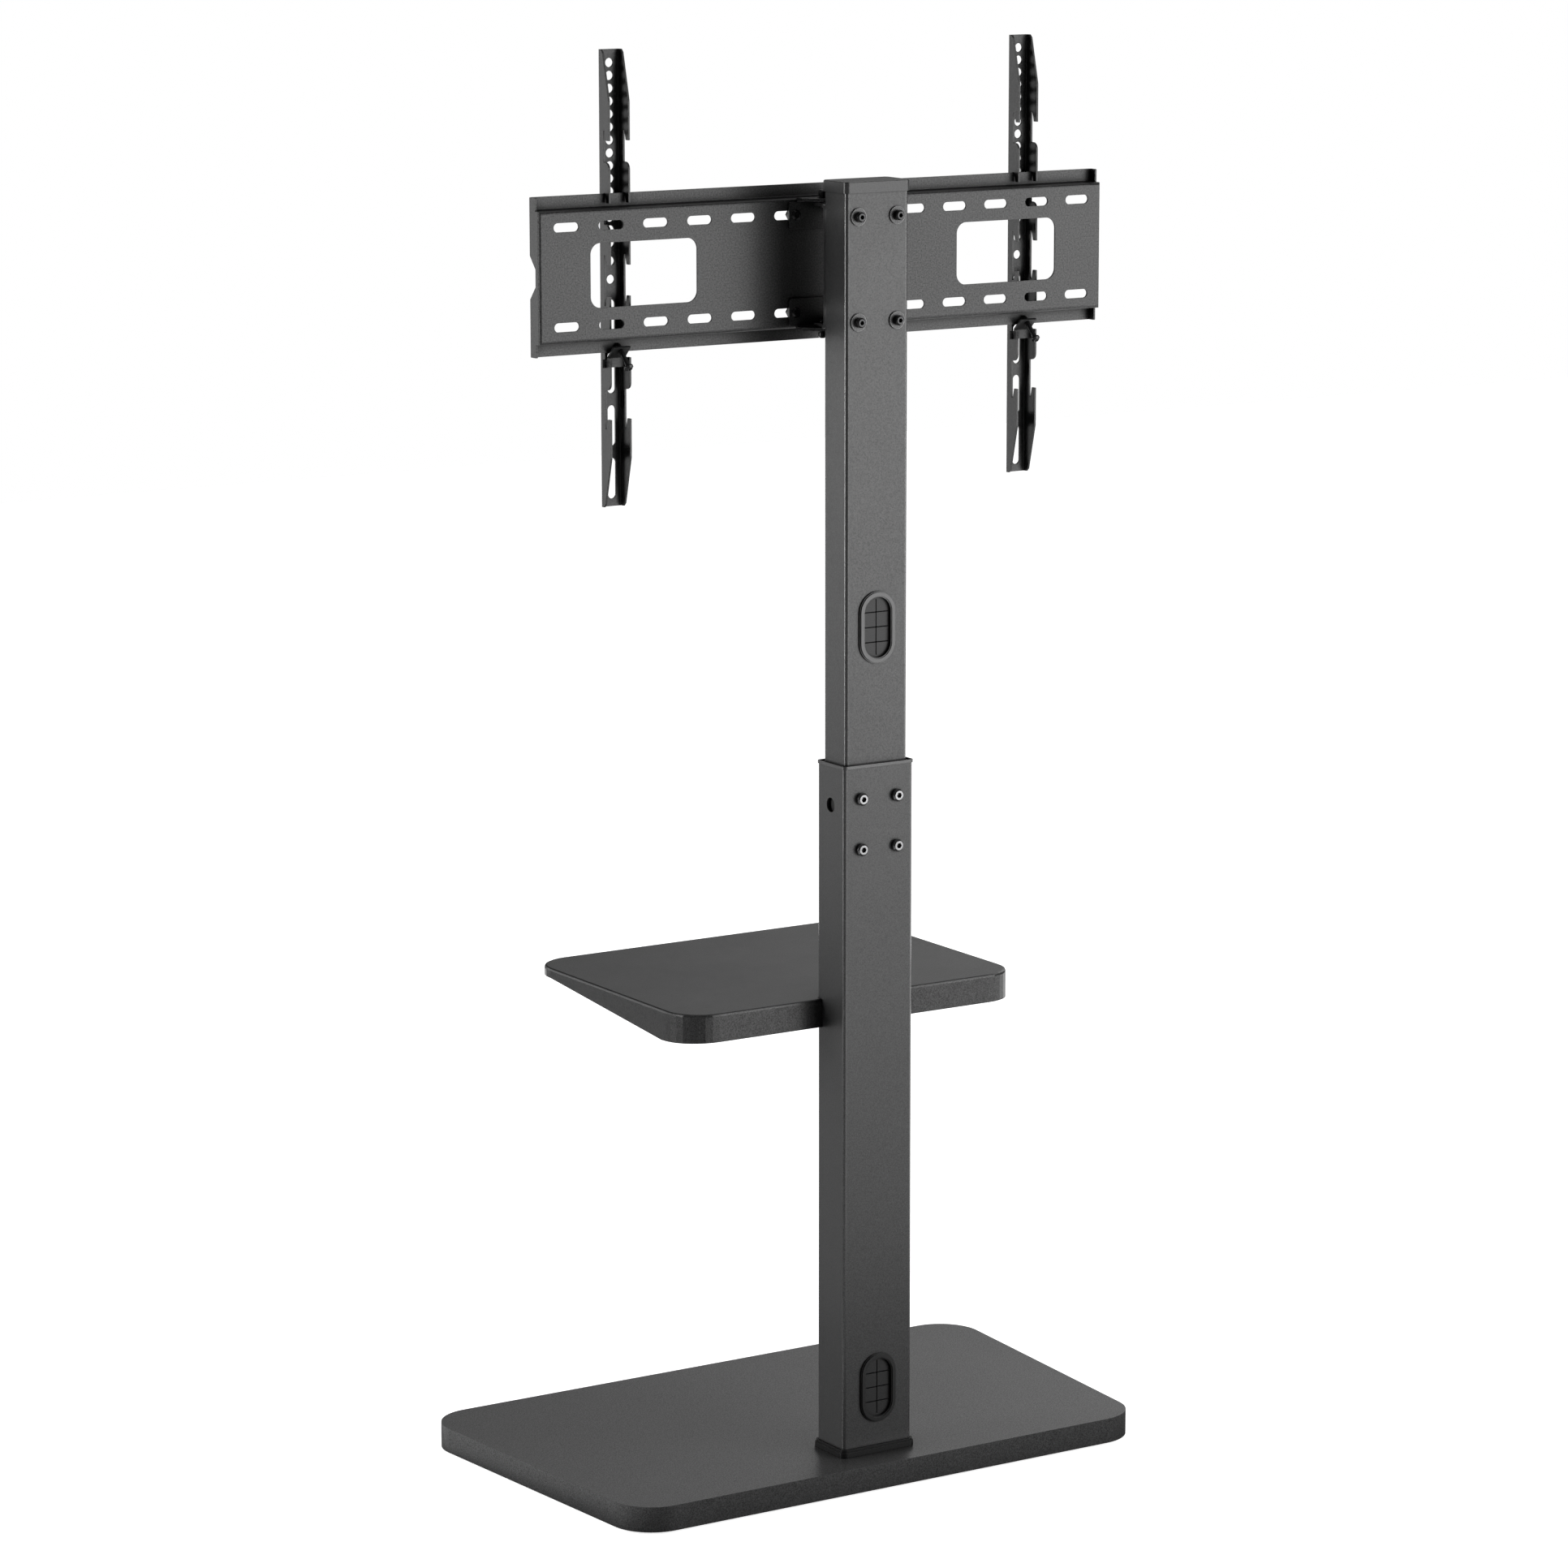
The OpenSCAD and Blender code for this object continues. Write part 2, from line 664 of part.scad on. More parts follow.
module column_collar() {
    open_w = upper_w + 2 * slide_gap;
    open_d = upper_d + 2 * slide_gap;
    open_r = tube_corner_r + slide_gap;
    color(rubber) difference() {
        union() {
            slab(lower_z1, collar_z1) translate([0, column_y])
                rounded(lower_w + 2 * collar_lip, lower_d + 2 * collar_lip, tube_corner_r + collar_lip);
            slab(lower_z1 - sleeve_len, lower_z1) translate([0, column_y])
                rounded(lower_in_w - 2 * seat_gap, lower_in_d - 2 * seat_gap, max(tube_corner_r - lower_wall, 0.5));
        }
        slab(lower_z1 - sleeve_len - 1, collar_z1 + 1) translate([0, column_y]) rounded(open_w, open_d, open_r);
        slab(collar_z1 - collar_h / 2, collar_z1 + 1) translate([0, column_y])
            rounded(lower_w + 2 * collar_lip - 3, lower_d + 2 * collar_lip - 3, tube_corner_r + collar_lip - 1.5);
    }
}

module height_bolts() {
    color(black) height_bolt_places()
        cap_screw(0, 0, height_bolt_d, height_head_d, height_head_h, clamp_y1 - clamp_t - 1, lower_back_y);
}

module clamp_plate() {
    w = height_bolt_x + 2 * clamp_side;
    color(zinc) difference() {
        front_view(clamp_y1 - clamp_t, clamp_y1) translate([0, (height_bolt_top + height_bolt_low) / 2])
            rounded(w, height_bolt_z + 2 * clamp_margin, 4);
        height_bolt_places() rod_y(0, 0, height_bolt_d / 2 + pin_gap, clamp_y1 - clamp_t - 1, clamp_y1 + 1);
    }
}

// Outline of the shelf drawn in by an inset, for the rounded top edge
module shelf_outline(inset) {
    translate([0, shelf_mid_y])
        rounded(shelf_w - 2 * inset, shelf_depth - 2 * inset, shelf_corner_r - inset);
}

// Everything below the sloping underside of the shelf
module shelf_underside() {
    low = shelf_z1 - shelf_deep_t - 5;
    side_view(-shelf_w, shelf_w) polygon([
        [shelf_y0 - 1, low], [shelf_y0 - 1, shelf_z1 - shelf_front_t],
        [shelf_y0 + shelf_front_run, shelf_z1 - shelf_front_t],
        [shelf_y1 - shelf_deep_back, shelf_z1 - shelf_deep_t], [shelf_y1, shelf_z1 - shelf_back_t],
        [shelf_y1 + 1, shelf_z1 - shelf_back_t], [shelf_y1 + 1, low]
    ]);
}

module shelf_ribs() {
    rib_y0 = shelf_y0 + rib_front;
    rib_y1 = shelf_y1 - shelf_wall;
    for (x = [-3, -1, 1, 3]) slab(panel_z0 - boss_h + seat_gap, panel_z0)
        translate([x * shelf_w / 8, (rib_y0 + rib_y1) / 2]) square([2, rib_y1 - rib_y0], center = true);
    for (i = [1:3]) slab(panel_z0 - boss_h + seat_gap, panel_z0)
        translate([0, rib_y0 + i * (rib_y1 - rib_y0) / 4]) square([shelf_w * 3 / 4, 2], center = true);
}

module shelf() {
    e = shelf_edge_r;
    color(black) difference() {
        union() {
            difference() {
                hull() {
                    slab(shelf_z1 - shelf_deep_t, shelf_z1 - e) shelf_outline(0, $fn = 32);
                    slab(shelf_z1 - e * 0.3, shelf_z1 - e * 0.29) shelf_outline(e * 0.29, $fn = 32);
                    slab(shelf_z1 - 0.01, shelf_z1) shelf_outline(e, $fn = 32);
                }
                slab(shelf_z1 - shelf_deep_t - 1, panel_z0) shelf_outline(shelf_wall);
            }
            shelf_ribs();
            boss_places() rod_z(0, 0, boss_d / 2, shelf_bracket_z1, panel_z0 + 0.5);
        }
        shelf_underside();
        boss_places() rod_z(0, 0, 2, shelf_bracket_z1 - 1, panel_z0 + 0.4);
        slab(shelf_z1 - shelf_deep_t - 1, shelf_z1 + 1) translate([0, lower_front_y + shelf_wrap])
            square([lower_w + 2 * seat_gap, 2 * shelf_wrap], center = true);
    }
}

module shelf_bracket() {
    mid_y = lower_front_y - bracket_t / 2;
    mid_z = shelf_bracket_z1 - bracket_t / 2;
    color(black) difference() {
        side_view(-bracket_w / 2, bracket_w / 2) sheet([
            [mid_y, shelf_z1 - bracket_drop], [mid_y, mid_z], [lower_front_y - bracket_reach, mid_z]
        ], bracket_t, 2);
        shelf_bolt_places() rod_y(0, 0, shelf_bolt_d / 2 + bolt_gap, lower_front_y - bracket_t - 1, lower_front_y + 1);
        boss_places() rod_z(0, 0, 2.3, shelf_bracket_z1 - bracket_t - 1, shelf_bracket_z1 + 1);
    }
}

module shelf_bolts() {
    color(zinc) shelf_bolt_places() mirror([0, 1, 0])
        cap_screw(0, 0, shelf_bolt_d, 11, 4, -lower_front_y - 14, -lower_front_y + bracket_t);
}

// Blind rivet nuts: a barrel through the tube's wall and a bulge behind it
module shelf_rivet_nuts() {
    color(zinc) shelf_bolt_places() difference() {
        union() {
            rod_y(0, 0, nut_barrel_r, lower_front_y, lower_front_y + 13);
            rod_y(0, 0, nut_bulge_r, lower_front_y + lower_wall, lower_front_y + lower_wall + 4);
        }
        rod_y(0, 0, shelf_bolt_d / 2 + pin_gap, lower_front_y - 1, lower_front_y + 14);
    }
}

module shelf_screws() {
    color(zinc) boss_places() {
        rod_z(0, 0, 1.95, shelf_bracket_z1 - bracket_t, panel_z0);
        rod_z(0, 0, 4, shelf_bracket_z1 - bracket_t - 2.5, shelf_bracket_z1 - bracket_t);
    }
}

module upper_column() {
    color(black) difference() {
        slab(mast_z0, mast_z1) translate([0, column_y]) frame(upper_w, upper_d, tube_corner_r, upper_wall);
        for (s = [-1, 1]) front_view(upper_back_y - upper_wall - 1, upper_back_y + 1)
            translate([s * height_bolt_x / 2, (slot_top + slot_low) / 2])
                stadium(2 * slot_half_w, slot_top - slot_low + height_bolt_d);
        grommet_cut(upper_back_y, upper_wall, upper_grommet_z);
        head_bolt_places() rod_y(0, 0, head_bolt_d / 2 + bolt_gap, upper_front_y - 1, upper_back_y + 1);
    }
}

module top_cap() {
    out_w = upper_w + 2 * (cap_wall + seat_gap);
    out_d = upper_d + 2 * (cap_wall + seat_gap);
    out_r = tube_corner_r + cap_wall + seat_gap;
    top = mast_z1 + cap_t;
    color(rubber) difference() {
        union() {
            slab(mast_z1 - cap_skirt_h, top - 0.7) translate([0, column_y]) rounded(out_w, out_d, out_r);
            slab(top - 0.7, top) translate([0, column_y]) rounded(out_w - 1.4, out_d - 1.4, out_r - 0.7);
        }
        difference() {
            slab(mast_z1 - cap_skirt_h - 1, mast_z1) translate([0, column_y])
                rounded(upper_w + 2 * seat_gap, upper_d + 2 * seat_gap, tube_corner_r + seat_gap);
            slab(mast_z1 - cap_skirt_h, mast_z1) translate([0, column_y])
                frame(upper_in_w - 2 * seat_gap, upper_in_d - 2 * seat_gap, 2, 1.6);
        }
    }
}

// A plastic shoe on the foot of the upper tube that runs in the lower one
module mast_glide() {
    color(nylon) difference() {
        slab(mast_z0 - 2, mast_z0 + glide_h) translate([0, column_y])
            rounded(lower_in_w - 2 * slide_gap, lower_in_d - 2 * slide_gap, max(tube_corner_r - lower_wall, 0.6));
        slab(mast_z0, mast_z0 + glide_h + 1) translate([0, column_y])
            rounded(upper_w + 2 * pin_gap, upper_d + 2 * pin_gap, tube_corner_r);
        slab(mast_z0 - 3, mast_z0 + 1) translate([0, column_y]) rounded(upper_in_w, upper_in_d, 2);
    }
}

module upper_grommet() {
    color(rubber) grommet(upper_back_y, upper_grommet_z);
}

module upper_grommet_flaps() {
    color(rubber) grommet_flaps(upper_back_y, upper_grommet_z);
}

// Plan of the column bracket: its web on the tube and its ears round the swivel axis
module column_bracket_plan() {
    translate([-column_bracket_half_w, column_web_y0 - 3]) square([2 * column_bracket_half_w, yoke_t + 4]);
    translate([-column_ear_half_w, pivot_y - column_ear_front])
        square([2 * column_ear_half_w, upper_front_y - pivot_y + column_ear_front]);
    translate([0, pivot_y]) circle(column_ear_r);
}

module column_bracket() {
    web_y = upper_front_y - yoke_t / 2;
    ear_z = bracket_out - yoke_t / 2;
    tip_y = pivot_y - column_ear_r - 1;
    color(black) translate([0, 0, mount_z]) difference() {
        intersection() {
            side_view(-column_bracket_half_w, column_bracket_half_w) sheet([
                [tip_y, ear_z], [web_y, ear_z], [web_y, -ear_z], [tip_y, -ear_z]
            ], yoke_t, 1.5);
            slab(-yoke_out, yoke_out) column_bracket_plan();
        }
        for (x = [-1, 1], z = [-1, 1])
            rod_y(x * head_bolt_x / 2, z * head_bolt_z / 2, head_bolt_d / 2 + pin_gap, column_web_y0 - 1, upper_front_y + 1);
        rod_z(0, pivot_y, pivot_d / 2 + pin_gap, -yoke_out, yoke_out);
        for (x = [-1, 1]) rod_z(x * limit_r, pivot_y, limit_d / 2 + pin_gap, -yoke_out, yoke_out);
    }
}

module head_bolts() {
    color(black) head_bolt_places()
        cap_screw(0, 0, head_bolt_d, 10, 6, column_web_y0 - 2, upper_back_y + 1.5);
}

module head_washers() {
    color(black) head_bolt_places() difference() {
        rod_y(0, 0, head_washer_d / 2, upper_back_y, upper_back_y + 1.5);
        rod_y(0, 0, head_bolt_d / 2 + bolt_gap, upper_back_y - 1, upper_back_y + 2);
    }
}

// What is mirrored about the mount's mid plane, at the top and the bottom of the swivel
module above_and_below() {
    translate([0, 0, mount_z]) for (s = [0, 1]) mirror([0, 0, s]) children();
}

module pivot_bolts() {
    color(black) above_and_below() {
        rod_z(0, pivot_y, pivot_d / 2, bracket_in - pivot_nut_h - 2, yoke_out + slide_gap);
        hex_z(0, pivot_y, pivot_hex_d, yoke_out + slide_gap, yoke_out + slide_gap + pivot_head_h);
    }
}

module pivot_nuts() {
    color(black) above_and_below() difference() {
        hex_z(0, pivot_y, pivot_hex_d, bracket_in - pivot_nut_h, bracket_in);
        rod_z(0, pivot_y, pivot_d / 2 + pin_gap, bracket_in - pivot_nut_h - 1, bracket_in + 1);
    }
}

module friction_washers() {
    color(nylon) above_and_below() difference() {
        rod_z(0, pivot_y, column_ear_r - 1, bracket_out, bracket_out + washer_t);
        rod_z(0, pivot_y, pivot_d / 2 + pin_gap, bracket_out - 1, bracket_out + washer_t + 1);
    }
}

module limit_screws() {
    head_z = yoke_out + limit_stand;
    head_r = limit_d * 0.68;
    color(black) above_and_below() for (x = [-1, 1]) {
        rod_z(x * limit_r, pivot_y, limit_d / 2, bracket_in - 3, head_z);
        rod_z(x * limit_r, pivot_y, head_r, head_z, head_z + limit_head_h - 1.5);
        translate([x * limit_r, pivot_y, head_z + limit_head_h - 1.5])
            cylinder(r1 = head_r, r2 = head_r - 1.5, h = 1.5);
    }
}

// The plate's side view: a web at the back, bent forward and out into two lips
module hat_profile() {
    lip_y = lip_front_y + plate_t / 2;
    web_y = web_back_y - plate_t / 2;
    ledge_z = web_h / 2 - plate_t / 2;
    sheet([
        [lip_y, -plate_h / 2], [lip_y, -ledge_z], [web_y, -ledge_z],
        [web_y, ledge_z], [lip_y, ledge_z], [lip_y, plate_h / 2]
    ], plate_t, plate_bend_r);
}

// One end of the web bent forward, with short tabs level with the lips
module plate_end() {
    end_x = plate_w / 2 - plate_t / 2;
    web_y = web_back_y - plate_t / 2;
    bend_out = plate_bend_r + plate_t;
    intersection() {
        slab(-web_h / 2, web_h / 2) sheet([[end_x - 12, web_y], [end_x, web_y], [end_x, lip_front_y]], plate_t, plate_bend_r);
        side_view(plate_w / 4, plate_w / 2 + 1) translate([web_back_y - plate_w / 2, 0])
            rounded(plate_w, web_h, bend_out);
    }
    side_view(plate_w / 2 - plate_t, plate_w / 2) translate([lip_front_y + end_tab_d / 2, 0])
        rounded(end_tab_d, plate_h, 1);
}

module plate_notch() {
    side_view(plate_w / 2 - 3 * plate_t, plate_w / 2 + 1) polygon([
        [lip_front_y - 1, notch_out_h / 2], [lip_front_y, notch_out_h / 2],
        [lip_front_y + notch_depth, notch_in_h / 2], [lip_front_y + notch_depth, -notch_in_h / 2],
        [lip_front_y, -notch_out_h / 2], [lip_front_y - 1, -notch_out_h / 2]
    ]);
}

module mount_plate() {
    color(black) translate([0, 0, mount_z]) difference() {
        union() {
            side_view(-plate_w / 2 + plate_t, plate_w / 2 - plate_t) hat_profile();
            for (s = [0, 1]) mirror([s, 0, 0]) plate_end();
        }
        for (s = [0, 1]) mirror([s, 0, 0]) plate_notch();
        front_view(web_front_y - 1, web_back_y + 1) {
            for (i = [-plate_slots_side:plate_slots_side], z = [-1, 1])
                translate([i * plate_slot_pitch, z * plate_row_gap / 2]) lying_slot(plate_slot_len, plate_slot_w);
            for (s = [-1, 1]) translate([s * window_x, 0]) rounded(window_w, window_h, window_r);
        }
    }
}

// Plan of a yoke's ear, tangent to a circle round the swivel axis
module ear_plan() {
    root = [ear_half_w, web_back_y - pivot_y + yoke_t + 10];
    a = atan2(root[1], root[0]) + acos(ear_r / norm(root));
    tangent = ear_r * dir(a);
    translate([0, pivot_y]) {
        circle(ear_r);
        polygon([[-root[0], web_back_y - pivot_y], [root[0], web_back_y - pivot_y], root,
                 tangent, [-tangent[0], tangent[1]], [-root[0], root[1]]]);
    }
}

module limit_slots() {
    far = 2 * limit_r;
    slab(0, 2 * yoke_out) translate([0, pivot_y]) for (side = [0, 180]) rotate(side) {
        intersection() {
            difference() {
                circle(limit_r + limit_slot_half_w);
                circle(limit_r - limit_slot_half_w);
            }
            polygon([[0, 0], far * dir(-swivel_max), far * dir(swivel_max)]);
        }
        for (a = [-swivel_max, swivel_max]) translate(limit_r * dir(a)) circle(limit_slot_half_w);
    }
}

// A tab bolted to the web and an ear bent back from it, above the mount's centre
module yoke() {
    tab_y = web_back_y + yoke_t / 2;
    ear_z = yoke_out - yoke_t / 2;
    difference() {
        union() {
            intersection() {
                side_view(-ear_half_w, ear_half_w) sheet([
                    [tab_y, yoke_out - tab_h + 8], [tab_y, ear_z], [pivot_y + ear_r + 1, ear_z]
                ], yoke_t, 1.5);
                slab(0, yoke_out) ear_plan();
            }
            front_view(web_back_y, web_back_y + yoke_t) translate([0, yoke_out - tab_h / 2 - 2])
                rounded(2 * yoke_half_w, tab_h - 4, 3);
        }
        rod_z(0, pivot_y, pivot_d / 2 + pin_gap, 0, yoke_out + 1);
        limit_slots();
        for (x = [-1, 1]) rod_y(x * yoke_screw_x, plate_row_gap / 2, yoke_screw_d / 2 + bolt_gap, web_back_y - 1, web_back_y + yoke_t + 1);
    }
}

module upper_yoke() {
    color(black) translate([0, 0, mount_z]) yoke();
}

module lower_yoke() {
    color(black) translate([0, 0, mount_z]) mirror([0, 0, 1]) yoke();
}

module yoke_screws() {
    color(black) above_and_below() for (x = [-1, 1]) {
        rod_y(x * yoke_screw_x, plate_row_gap / 2, yoke_screw_d / 2,
              web_front_y - yoke_flange_h - yoke_nut_h - yoke_screw_d / 6, web_back_y + yoke_t);
        translate([x * yoke_screw_x, web_back_y + yoke_t, plate_row_gap / 2]) rotate([-90, 0, 0])
            cylinder(r1 = yoke_screw_d * 0.9, r2 = yoke_screw_d * 0.6, h = yoke_screw_d / 3);
    }
}

// Flanged nuts wide enough to bridge the plate's slots
module yoke_nuts() {
    color(black) above_and_below() for (x = [-1, 1]) translate([x * yoke_screw_x, 0, plate_row_gap / 2]) difference() {
        union() {
            rod_y(0, 0, plate_slot_w / 2 + 2, web_front_y - yoke_flange_h, web_front_y);
            translate([0, web_front_y - yoke_flange_h - yoke_nut_h, 0]) rotate([-90, 0, 0])
                cylinder(d = yoke_screw_d * 1.9, h = yoke_nut_h + 0.1, $fn = 6);
        }
        rod_y(0, 0, yoke_screw_d / 2 + pin_gap, web_front_y - yoke_flange_h - yoke_nut_h - 1, web_front_y + 1);
    }
}

// Back edge of an arm's flange from one recess up to the next, hook by hook
function hook_edge(i, recess) =
    let (end = hook_first + i * hook_pitch, tip = end - hook_slit_len, shoulder = end - recess)
    concat(
        i == 0 ? [] : concat(
            arc([arm_d - shoulder_r, shoulder - shoulder_r], shoulder_r, 0, 90, 5),
            [[hook_d, shoulder]]),
        [[hook_d, end], [hook_d + hook_slit_w, end], [hook_d + hook_mouth_w, tip], [arm_d, tip]]);

function arm_half(end_recess) = concat(
    [for (i = [0:hook_count - 1]) each hook_edge(i, i == hook_count - 1 ? end_recess : recess_len)],
    [[arm_d, arm_len / 2 - arm_taper], [arm_end_d, arm_len / 2 - 3], [arm_end_d - 3, arm_len / 2], [0, arm_len / 2]]);

module arm_channel() {
    half = arm_w / 2 - arm_t / 2;
    difference() {
        intersection() {
            slab(-arm_len / 2, arm_len / 2) translate([0, arm_y0])
                sheet([[-half, arm_d], [-half, arm_t / 2], [half, arm_t / 2], [half, arm_d]], arm_t, 1);
            side_view(-arm_w, arm_w) translate([arm_y0, 0])
                polygon(concat(arm_half(recess_len), [for (p = reversed(arm_half(low_recess_len))) [p[0], -p[1]]]));
        }
        for (i = [0:arm_hole_count - 1])
            rod_y(0, arm_len / 2 - arm_hole_edge - i * arm_hole_pitch, arm_hole_d / 2, arm_y0 - 1, arm_y0 + arm_t + 1);
        for (z = [0, last_row_hole / 2]) rod_y(0, z, arm_hole_d / 2, arm_y0 - 1, arm_y0 + arm_t + 1);
        front_view(arm_y0 - 1, arm_y0 + arm_t + 1) for (i = [0:3])
            translate([0, -first_slot - i * arm_slot_pitch]) stadium(arm_hole_d, arm_slot_len);
    }
}

// A bent strip whose wings rest in the slits of the lower hooks
module lock_plate() {
    up = [cos(lock_slope), sin(lock_slope)];
    corner = [lock_y, lock_z1];
    inner_w = arm_w - 2 * arm_t - 2 * slide_gap;
    difference() {
        union() {
            side_view(-inner_w / 2, inner_w / 2)
                sheet([[lock_y, lock_z0], corner, corner + lock_roof * up], lock_t, 1);
            front_view(lock_y - lock_t / 2, lock_y + lock_t / 2) translate([-lock_w / 2, lock_z0])
                square([lock_w, hook_slit_len - 1.5]);
        }
        lock_screw_line() cylinder(r = lock_screw_d / 2 + pin_gap, h = lock_screw_len);
    }
}

// Origin at the tip of the lock screw, with +Z along it towards its head
module lock_screw_line() {
    translate([0, lock_tip_y, lock_tip_z]) rotate([-90 - screw_lean, 0, 0]) children();
}

module lock_screw() {
    lock_screw_line() difference() {
        union() {
            cylinder(r1 = 1, r2 = lock_screw_d / 2, h = lock_tip_len);
            translate([0, 0, lock_tip_len]) cylinder(d = lock_screw_d, h = lock_screw_len - lock_tip_len);
            translate([0, 0, lock_screw_len]) cylinder(d = lock_head_d, h = 1.6);
            translate([0, 0, lock_screw_len + 1.6]) cylinder(d1 = lock_head_d, d2 = lock_head_d * 0.6, h = 1.8);
        }
        for (a = [0, 90]) rotate(a) translate([-2.2, -0.5, lock_screw_len + 1.8]) cube([4.4, 1, 3]);
    }
}

module right_arm() {
    color(black) translate([right_arm_x, 0, arm_z]) arm_channel();
}

module right_lock_plate() {
    color(black) translate([right_arm_x, 0, 0]) lock_plate();
}

module right_lock_screw() {
    color(black) translate([right_arm_x, 0, 0]) lock_screw();
}

module left_arm() {
    color(black) translate([-left_arm_x, 0, arm_z]) arm_channel();
}

module left_lock_plate() {
    color(black) translate([-left_arm_x, 0, 0]) lock_plate();
}

module left_lock_screw() {
    color(black) translate([-left_arm_x, 0, 0]) lock_screw();
}

base_board();
base_pads();
spreader_plate();
base_bolts();
foot_plate();
base_skirt();
lower_column();
lower_grommet();
lower_grommet_flaps();
column_collar();
height_bolts();
clamp_plate();
shelf();
shelf_bracket();
shelf_bolts();
shelf_rivet_nuts();
shelf_screws();
upper_column();
top_cap();
mast_glide();
upper_grommet();
upper_grommet_flaps();
column_bracket();
head_bolts();
head_washers();
pivot_bolts();
pivot_nuts();
friction_washers();
limit_screws();
mount_plate();
upper_yoke();
lower_yoke();
yoke_screws();
yoke_nuts();
right_arm();
right_lock_plate();
right_lock_screw();
left_arm();
left_lock_plate();
left_lock_screw();
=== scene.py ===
import json
import math
import bmesh
import bpy
from mathutils import Matrix, Vector

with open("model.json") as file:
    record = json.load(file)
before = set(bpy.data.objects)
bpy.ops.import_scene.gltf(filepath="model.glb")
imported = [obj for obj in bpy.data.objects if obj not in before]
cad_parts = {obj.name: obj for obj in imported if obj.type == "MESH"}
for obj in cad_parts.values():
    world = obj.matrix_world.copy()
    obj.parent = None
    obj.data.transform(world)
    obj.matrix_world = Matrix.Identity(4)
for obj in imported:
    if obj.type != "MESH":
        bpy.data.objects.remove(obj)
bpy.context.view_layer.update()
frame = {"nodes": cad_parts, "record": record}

nodes = frame["nodes"]
print("stand loaded:", len(nodes), "parts")


# ---- small helpers for node trees

def addNode(tree, kind, x, y, **settings):
    node = tree.nodes.new(kind)
    node.location = (x, y)
    for name, value in settings.items():
        setattr(node, name, value)
    return node


def feed(tree, node, values):
    # each value is a number, a colour or the socket that gives it
    for name, value in values.items():
        if isinstance(value, bpy.types.NodeSocket):
            tree.links.new(value, node.inputs[name])
        else:
            node.inputs[name].default_value = value


def calc(tree, x, y, operation, *values, clamp=False):
    node = addNode(tree, "ShaderNodeMath", x, y, operation=operation, use_clamp=clamp)
    feed(tree, node, dict(enumerate(values)))
    return node.outputs[0]


def vectorCalc(tree, x, y, operation, values, output):
    node = addNode(tree, "ShaderNodeVectorMath", x, y, operation=operation)
    feed(tree, node, values)
    return node.outputs[output]


def ramp(tree, x, y, value, start, end, low=0.0, high=1.0, smooth=False):
    node = addNode(tree, "ShaderNodeMapRange", x, y)
    node.interpolation_type = "SMOOTHSTEP" if smooth else "LINEAR"
    feed(tree, node, {"Value": value, "From Min": start, "From Max": end,
                      "To Min": low, "To Max": high})
    return node.outputs["Result"]


def noise(tree, x, y, place, scale, detail, roughness=0.5):
    node = addNode(tree, "ShaderNodeTexNoise", x, y)
    feed(tree, node, {"Vector": place, "Scale": scale, "Detail": detail, "Roughness": roughness})
    return node.outputs["Fac"]


def mixNumber(tree, x, y, share, first, second):
    node = addNode(tree, "ShaderNodeMix", x, y, data_type="FLOAT")
    feed(tree, node, {0: share, 2: first, 3: second})
    return node.outputs[0]


def mixColor(tree, x, y, share, first, second):
    node = addNode(tree, "ShaderNodeMix", x, y, data_type="RGBA")
    feed(tree, node, {0: share, 6: first, 7: second})
    return node.outputs[2]


def coordinate(tree, x, y, kind):
    return addNode(tree, "ShaderNodeTexCoord", x, y).outputs[kind]


def axesOf(tree, x, y, vector):
    node = addNode(tree, "ShaderNodeSeparateXYZ", x, y)
    tree.links.new(vector, node.inputs[0])
    return node.outputs


def useGroup(tree, x, y, group, values):
    node = addNode(tree, "ShaderNodeGroup", x, y, node_tree=group)
    feed(tree, node, values)
    return node.outputs


def newGroup(name, inputs, outputs):
    # inputs give each socket's first value, outputs its kind
    group = bpy.data.node_groups.new(name, "ShaderNodeTree")
    for label, value in inputs.items():
        kind = "NodeSocketColor" if isinstance(value, tuple) else "NodeSocketFloat"
        socket = group.interface.new_socket(name=label, in_out="INPUT", socket_type=kind)
        socket.default_value = value
    for label, kind in outputs.items():
        group.interface.new_socket(name=label, in_out="OUTPUT", socket_type="NodeSocket" + kind)
    enter = addNode(group, "NodeGroupInput", -1000, 0)
    return group, enter.outputs, addNode(group, "NodeGroupOutput", 700, 0)


def emptyTree(owner):
    owner.use_nodes = True
    owner.node_tree.nodes.clear()
    return owner.node_tree


# ---- shader groups shared by the finishes

grainForm = {
    "perMetre": 1000.0, "fineDetail": 2.0, "fineRoughness": 0.6, "peelScale": 260.0,
    "peelDetail": 1.0, "peelShare": 0.45, "cloudScale": 6.0, "cloudDetail": 3.0,
    "cloudRoughness": 0.55, "middle": 0.5,
}


